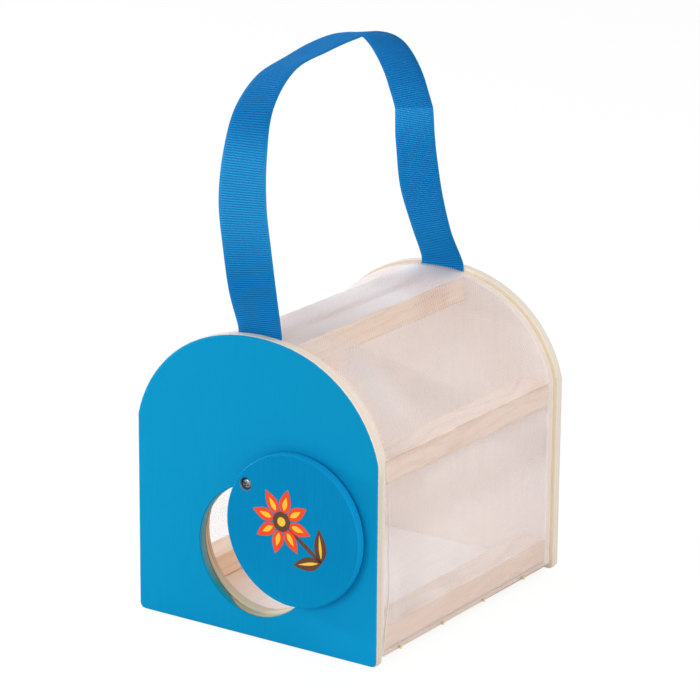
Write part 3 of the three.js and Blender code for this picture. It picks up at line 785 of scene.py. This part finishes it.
def weave(name, across_ends, depth_ends, material):
    """Netting of two families of slanting threads with raised backs, flattened over the end boards."""
    across_step = MESH_ACROSS / 2
    along_step = MESH_ALONG / 2
    rows = lines_between(across_ends, across_step)
    columns = lines_between(depth_ends, along_step)
    row, column = np.meshgrid(rows, columns, indexing="ij")
    knots = (row + column) % 2 == 0
    index = np.full(row.shape, -1)
    index[knots] = np.arange(knots.sum())
    across = row[knots] * across_step
    depth = column[knots] * along_step
    over = np.where(row[knots] % 2 == 0, 1.0, -1.0)
    free = smooth(np.minimum(depth - BOARD_FRONT, BOARD_REAR - depth) / BEND)
    body = THREAD_PRESSED + (1 - THREAD_PRESSED) * free
    slant = math.hypot(across_step, along_step)
    count = len(across)
    points = []
    faces = []
    flat = []
    for lean in (1, -1):
        base = sum(len(part) for part in points)
        for side, height in ((1, 0.0), (0, THREAD_HEIGHT), (-1, 0.0)):
            beside = side * THREAD_WIDTH / 2 / slant
            place = across - lean * along_step * beside
            level = depth + across_step * beside
            centre, normal = net_surface(place, level)
            rise = (height + over * lean * THREAD_RISE) * body
            points.append(centre + normal * rise[:, None])
            flat.append(np.stack([place, level], axis=-1))
        start = index[:-1, :-1] if lean == 1 else index[:-1, 1:]
        end = index[1:, 1:] if lean == 1 else index[1:, :-1]
        real = (start >= 0) & (end >= 0)
        for strand in (base, base + count):
            a = strand + start[real]
            b = strand + end[real]
            faces.append(np.stack([a, b, b + count, a + count], axis=-1))
    piece = add_mesh(name, np.concatenate(points), np.concatenate(faces), material, "cage")
    map_flat(piece, np.concatenate(flat))
    return piece


def catmull(points, steps):
    """A smooth curve through points, spaced by the square roots of their distances."""
    points = [np.asarray(point, float) for point in points]
    points = [2 * points[0] - points[1]] + points + [2 * points[-1] - points[-2]]
    line = []
    for p0, p1, p2, p3 in zip(points, points[1:], points[2:], points[3:]):
        t0 = 0.0
        t1 = t0 + math.sqrt(np.linalg.norm(p1 - p0))
        t2 = t1 + math.sqrt(np.linalg.norm(p2 - p1))
        t3 = t2 + math.sqrt(np.linalg.norm(p3 - p2))
        for t in np.linspace(t1, t2, steps, endpoint=False):
            a1 = (t1 - t) / (t1 - t0) * p0 + (t - t0) / (t1 - t0) * p1
            a2 = (t2 - t) / (t2 - t1) * p1 + (t - t1) / (t2 - t1) * p2
            a3 = (t3 - t) / (t3 - t2) * p2 + (t - t2) / (t3 - t2) * p3
            b1 = (t2 - t) / (t2 - t0) * a1 + (t - t0) / (t2 - t0) * a2
            b2 = (t3 - t) / (t3 - t1) * a2 + (t - t1) / (t3 - t1) * a3
            line.append((t2 - t) / (t2 - t1) * b1 + (t - t1) / (t2 - t1) * b2)
    line.append(points[-2])
    return np.array(line)


def edge_thread(material):
    """A loose thread of the netting's front edge that stands off the front board."""
    route = catmull(LOOSE_ROUTE, LOOSE_STEPS)
    x = NET_WALL + LOOSE_STAND_OFF
    points = []
    for depth, height in route:
        for angle in np.linspace(0, 2 * math.pi, LOOSE_SIDES, endpoint=False):
            out = LOOSE_RADIUS * math.cos(angle)
            back = LOOSE_RADIUS * math.sin(angle)
            points.append((x + out, depth + FRONT + back, height))
    faces = []
    for station in range(len(route) - 1):
        here = station * LOOSE_SIDES
        there = here + LOOSE_SIDES
        for corner in range(LOOSE_SIDES):
            following = (corner + 1) % LOOSE_SIDES
            faces.append((here + corner, here + following, there + following, there + corner))
    return add_mesh("net_edge_thread", points, faces, material, "cage")


def ribbon_line():
    """The ribbon's middle line: depth, height, shift to the right and twist."""
    route = [(RIBBON_FRONT, RIBBON_FOOT, FRONT_SHIFT, 0), (RIBBON_FRONT, RIBBON_GUIDE, FRONT_SHIFT, 0)]
    for root, limb in ((RIBBON_FRONT, FRONT_LIMB), (RIBBON_REAR, REAR_LIMB)):
        route += [(root + y, RIBBON_EXIT + z, x, twist) for y, z, x, twist in limb]
    route += [(RIBBON_REAR, RIBBON_GUIDE, REAR_SHIFT, 0), (RIBBON_REAR, RIBBON_FOOT, REAR_SHIFT, 0)]
    line = catmull(route, ROUTE_STEPS)
    travelled = np.concatenate([[0], np.cumsum(np.linalg.norm(np.diff(line[:, :2], axis=0), axis=1))])
    count = int(travelled[-1] / RIB_PITCH * STATIONS_PER_RIB)
    place = np.linspace(0, travelled[-1], count)
    return place, np.stack([np.interp(place, travelled, line[:, axis]) for axis in range(4)], axis=-1)


def ribbon_stations():
    """Places across the ribbon, each with 1 where it is ribbed and its share of the thickness."""
    half = RIBBON_HALF
    inner = half - SELVEDGE - SELVEDGE_STEP
    edge = [(half, 0, 0.5), (half - SELVEDGE_ROUND, 0, 1), (half - SELVEDGE, 0, 1)]
    left = [(-place, ribbed, body) for place, ribbed, body in edge]
    middle = [(place, 1, 1) for place in np.linspace(-inner, inner, STATIONS_ACROSS)]
    return left + middle + edge[::-1]


def weave_ribbon(material):
    """Grosgrain ribbon with cross ribs, plain selvedges and a crease, clamped in the layers of each end."""
    place, line = ribbon_line()
    count = len(place)
    centre = line[:, :2]
    twist = np.radians(line[:, 3])
    forward = np.gradient(centre, axis=0)
    forward /= np.linalg.norm(forward, axis=1, keepdims=True)
    outward = np.stack([np.zeros(count), -forward[:, 1], forward[:, 0]], axis=-1)
    sideways = np.array([1.0, 0, 0])
    width = np.cos(twist)[:, None] * sideways + np.sin(twist)[:, None] * outward
    normal = np.cos(twist)[:, None] * outward - np.sin(twist)[:, None] * sideways
    middle = np.stack([line[:, 2], line[:, 0] + FRONT, line[:, 1]], axis=-1)
    going_down = np.arange(count) > count / 2
    crease_place = float(place[going_down & (centre[:, 1] < CREASE)][0])
    skew = RIB_SKEW[0] + (RIB_SKEW[1] - RIB_SKEW[0]) * place / place[-1]
    stations = ribbon_stations()
    points = []
    shade = []
    for face in (1, -1):
        for across, ribbed, body in stations[::face]:
            rib = 0.5 - 0.5 * np.cos(2 * math.pi * (place - skew * across) / RIB_PITCH)
            shade.append(np.where(ribbed, rib, SELVEDGE_SHADE))
            from_crease = np.abs(place - crease_place - CREASE_SLANT * across) / CREASE_LENGTH
            crease = CREASE_RISE * np.clip(1 - from_crease, 0, 1) ** CREASE_SHARPNESS
            rise = RIBBON_THICKNESS / 2 * body + ribbed * RIB_RISE * rib
            points.append(middle + width * across + normal * (crease + face * rise)[:, None])
    around = len(points)
    points = np.concatenate(points)
    faces = []
    for corner in range(around):
        here = corner * count
        there = (corner + 1) % around * count
        faces += [(here + k, here + k + 1, there + k + 1, there + k) for k in range(count - 1)]
    faces.append(tuple(corner * count for corner in range(around)))
    faces.append(tuple(corner * count + count - 1 for corner in reversed(range(around))))
    piece = add_mesh("ribbon", points, faces, material, "cage")
    heights = piece.data.attributes.new(RIB_HEIGHT, "FLOAT", "POINT")
    heights.data.foreach_set("value", np.concatenate(shade).astype(np.float32))
    return piece, place[-1]


# Print on the disc, in axes from its centre with the screw straight up. Each ink is sunk a little to
# hold, and stands off the face by its level.
INK_SINK = 0.01
HEART = (0.0, 7.0)
HEART_RADIUS = 5.0
HEART_LEVEL = 0.07
SEED_RADIUS = 2.3
SEED_LEVEL = 0.09
PETALS = 8
PETAL_REACH = (4, 17)
PETAL_WIDTH = 6.4
PETAL_LEVEL = 0.04
STRIPE_REACH = (6, 13)
STRIPE_WIDTH = 2.6
STRIPE_LEVEL = 0.06
STEM = ((0, -21.5), (0, 4))
STEM_WIDTH = 2.4
STEM_LEVEL = 0.03
LEAF_ROOT = (0, -21)
LEAF_TIP = (13, -10)
LEAF_WIDTH = 7.0
LEAF_SKEW = 0.8
LEAF_LEVEL = 0.03
VEIN_ROOT = (1.5, -19.8)
VEIN_TIP = (10.5, -12)
VEIN_WIDTH = 1.6
VEIN_LEVEL = 0.05


def print_shape(name, outline, level, material):
    """A patch of ink on the disc's face that stands off it by a level."""
    up = np.array([PIVOT_X - DISC_X, PIVOT_Z - DISC_Z])
    up /= np.linalg.norm(up)
    right = np.array([up[1], -up[0]])
    flat = np.array([DISC_X, DISC_Z]) + np.outer(outline[:, 0], right) + np.outer(outline[:, 1], up)
    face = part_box("door_disc")[0].y / MM
    count = len(flat)
    low = np.stack([flat[:, 0], np.full(count, face + INK_SINK), flat[:, 1]], axis=-1)
    high = np.stack([flat[:, 0], np.full(count, face - level), flat[:, 1]], axis=-1)
    points = np.concatenate([low, high])
    faces = [(k, (k + 1) % count, count + (k + 1) % count, count + k) for k in range(count)]
    faces.append(tuple(range(count, 2 * count)))
    faces.append(tuple(reversed(range(count))))
    piece = add_mesh(name, points, faces, material, "door")
    piece.data.polygons.foreach_set("use_smooth", np.zeros(len(piece.data.polygons), bool))


def ring(centre, radius, count=48):
    """A circle's outline."""
    angle = np.linspace(0, 2 * math.pi, count, endpoint=False)
    return np.stack([centre[0] + radius * np.cos(angle), centre[1] + radius * np.sin(angle)], axis=-1)


def leaf(root, tip, width, count=20):
    """A leaf's outline between two points, widest a little nearer its root."""
    root = np.array(root, float)
    tip = np.array(tip, float)
    along = tip - root
    side = np.array([-along[1], along[0]]) / np.linalg.norm(along)
    t = np.linspace(0, 1, count)
    swell = width / 2 * np.sin(math.pi * t ** LEAF_SKEW)
    left = root + np.outer(t, along) + np.outer(swell, side)
    right = root + np.outer(t, along) - np.outer(swell, side)
    return np.concatenate([left, right[-2:0:-1]])


def petal(turn, reach, width):
    """A petal's outline between two distances from the heart."""
    near, far = [(HEART[0] + r * math.cos(turn), HEART[1] + r * math.sin(turn)) for r in reach]
    return leaf(near, far, width)


def print_flower(brown, orange, yellow):
    """A plain printed flower: eight petals, a round heart, a stem and two leaves."""
    print_shape("print_stem", leaf(*STEM, STEM_WIDTH), STEM_LEVEL, brown)
    for side, label in ((-1, "left"), (1, "right")):
        leaf_tip = (side * LEAF_TIP[0], LEAF_TIP[1])
        vein_root = (side * VEIN_ROOT[0], VEIN_ROOT[1])
        vein_tip = (side * VEIN_TIP[0], VEIN_TIP[1])
        print_shape("print_leaf_" + label, leaf(LEAF_ROOT, leaf_tip, LEAF_WIDTH), LEAF_LEVEL, brown)
        print_shape("print_vein_" + label, leaf(vein_root, vein_tip, VEIN_WIDTH), VEIN_LEVEL, yellow)
    for k in range(PETALS):
        turn = 2 * math.pi * (k + 0.5) / PETALS
        outline = petal(turn, PETAL_REACH, PETAL_WIDTH)
        stripe = petal(turn, STRIPE_REACH, STRIPE_WIDTH)
        print_shape("print_petal_%d" % (k + 1), outline, PETAL_LEVEL, orange)
        print_shape("print_stripe_%d" % (k + 1), stripe, STRIPE_LEVEL, yellow)
    print_shape("print_heart", ring(HEART, HEART_RADIUS), HEART_LEVEL, brown)
    print_shape("print_seed", ring(HEART, SEED_RADIUS), SEED_LEVEL, yellow)


# Finishes of the solid pieces
dress("front_panel", panel_finish("painted_panel"))
dress("door_disc", disc_finish("painted_disc"))
dress("front_inner_board", board_finish("front_board_ply", FRONT_BOARD, CREAM, hole=True))
# The rear pieces' left colours and the rear panel's cut colour are painted shade
dress("rear_inner_board", board_finish("rear_board_ply", REAR_BOARD, rgb(252, 239, 231),
                                       left=rgb(245, 229, 218)))
dress("rear_panel", board_finish("rear_panel_ply", REAR_PANEL, rgb(252, 238, 214), left=rgb(216, 204, 190),
                                 cut=rgb(234, 225, 214)))
dress("floor_board", floor_finish("floor_ply"))
pine = pine_finish("pine")
steel = metal_finish("bright_steel", rgb(150, 152, 156), rgb(112, 114, 118), 0.16)
brass = metal_finish("plain_brass", rgb(224, 212, 162), rgb(208, 194, 136), 0.42)
for name in nodes:
    if "_nail_" in name or name == "pivot_screw":
        dress(name, steel)
    elif name.startswith("hem_pin_"):
        dress(name, brass)
    elif "_rail_" in name:
        dress(name, pine)

# Netting: one sheet over the rails, in five lengths that meet at the rails
thread = thread_finish("net_thread", 0.45)
# The top net's threads carry painted shade at the front and painted light at the rear
top_thread = thread_finish("top_net_thread", 0.8, (rgb(231, 228, 231), rgb(246, 247, 251)))
loose_thread = edge_thread(thread_finish("loose_thread", 0.1))
net_lengths = {
    "top_net": (-HALF_TOP, HALF_TOP),
    "roof_net_left": (-ROOF_END, -HALF_TOP),
    "roof_net_right": (HALF_TOP, ROOF_END),
    "wall_net_left": (-NET_HALF, -ROOF_END),
    "wall_net_right": (ROOF_END, NET_HALF)}
for node, across_ends in net_lengths.items():
    netting = weave(node.replace("net", "netting"), across_ends, (NET_FRONT, NET_REAR),
                    top_thread if node == "top_net" else thread)
    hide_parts(node)

# Ribbon
ribbon, ribbon_length = weave_ribbon(ribbon_finish("grosgrain"))
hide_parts("ribbon_handle")

# Print on the door
print_flower(ink_finish("brown_ink", rgb(104, 70, 54), rgb(92, 60, 46)),
             ink_finish("orange_ink", rgb(252, 80, 34), rgb(244, 70, 26)),
             ink_finish("yellow_ink", rgb(255, 204, 66), rgb(250, 194, 54)))

# Studio: each lamp's place and size in metres and power in watts, all aimed at one target
LAMP_TARGET = (0, 0, 0.1)
LAMPS = {
    "key": ((-0.55, -1.9, 0.65), 0.9, 11.2),
    "right": ((1.95, -0.3, 0.85), 1.0, 15.5),
    "left": ((-0.62, -0.2, 0.21), 0.05, 1.95),
    "left_back": ((-1.6, 0.6, 1.0), 1.0, 6.5),
    "top": ((0.1, 0.0, 2.0), 1.4, 10)}
FLOOR_SIZE = 20
FLOOR_DROP = 0.0002


def area_lamp(name, place, size, power):
    """A soft round lamp."""
    lamp = bpy.data.lights.new(name, "AREA")
    lamp.shape = "DISK"
    lamp.size = size
    lamp.energy = power
    holder = bpy.data.objects.new(name, lamp)
    holder.location = place
    holder.rotation_euler = (Vector(LAMP_TARGET) - Vector(place)).to_track_quat("-Z", "Y").to_euler()
    bpy.context.scene.collection.objects.link(holder)


def seen_directly(tree):
    """1 for rays that see the background straight on or in a reflection, 0 for its light."""
    path = tree.nodes.new("ShaderNodeLightPath")
    total = path.outputs["Is Camera Ray"]
    for name in ("Is Glossy Ray", "Is Transmission Ray"):
        node = tree.nodes.new("ShaderNodeMath")
        node.operation = "MAXIMUM"
        tree.links.new(total, node.inputs[0])
        tree.links.new(path.outputs[name], node.inputs[1])
        total = node.outputs[0]
    return total


def seen_or_lit(tree, seen, lit):
    """One number for rays that see the background and another for its light."""
    node = tree.nodes.new("ShaderNodeMapRange")
    tree.links.new(seen_directly(tree), node.inputs["Value"])
    node.inputs["To Min"].default_value = lit
    node.inputs["To Max"].default_value = seen
    return node.outputs["Result"]


def make_world(ambient):
    """A white surround that lights the object at a lower strength."""
    world = bpy.data.worlds.new("studio")
    bpy.context.scene.world = world
    world.use_nodes = True
    tree = world.node_tree
    background = tree.nodes["Background"]
    background.inputs["Color"].default_value = (1, 1, 1, 1)
    tree.links.new(seen_or_lit(tree, 1.0, ambient), background.inputs["Strength"])


def make_floor(glow, shown, bounce):
    """A white floor that takes the object's shadow; shown and bounce are its greys to eye and light."""
    bpy.ops.mesh.primitive_plane_add(size=FLOOR_SIZE, location=(0, 0, -FLOOR_DROP))
    floor = bpy.context.object
    floor.name = "floor"
    material = bpy.data.materials.new("white_floor")
    material.use_nodes = True
    tree = material.node_tree
    shader = tree.nodes["Principled BSDF"]
    tree.links.new(seen_or_lit(tree, shown, bounce), shader.inputs["Base Color"])
    shader.inputs["Roughness"].default_value = 0.9
    shader.inputs["Specular IOR Level"].default_value = 0.0
    shader.inputs["Emission Color"].default_value = (1, 1, 1, 1)
    tree.links.new(seen_or_lit(tree, glow, 0.0), shader.inputs["Emission Strength"])
    floor.data.materials.append(material)


def make_camera():
    """The photograph's view, fitted to the cage's corners."""
    yaw = 0.590202542
    pitch = 0.296299717
    roll = 0.00762122902
    reach = 1680.44
    target = np.array([6.868, -8.273, 128.900])
    back = np.array([math.sin(yaw) * math.cos(pitch), -math.cos(yaw) * math.cos(pitch), math.sin(pitch)])
    right = np.array([math.cos(yaw), math.sin(yaw), 0.0])
    up = np.cross(back, right)
    level_right = math.cos(roll) * right + math.sin(roll) * up
    level_up = -math.sin(roll) * right + math.cos(roll) * up
    place = (target + back * reach) * MM
    lens = bpy.data.cameras.new("camera")
    lens.sensor_width = 36.0
    lens.lens = 177.567
    lens.clip_start = 0.05
    lens.clip_end = 60.0
    camera = bpy.data.objects.new("camera", lens)
    columns = [level_right, level_up, back, place]
    camera.matrix_world = Matrix([[columns[c][r] for c in range(4)] for r in range(3)] + [[0, 0, 0, 1]])
    bpy.context.scene.collection.objects.link(camera)
    bpy.context.scene.camera = camera


make_world(ambient=0.42)
make_floor(glow=0.9, shown=0.12, bounce=0.8)
for name, (place, size, power) in LAMPS.items():
    area_lamp(name, place, size, power)
make_camera()
bpy.context.scene.view_settings.view_transform = "Standard"
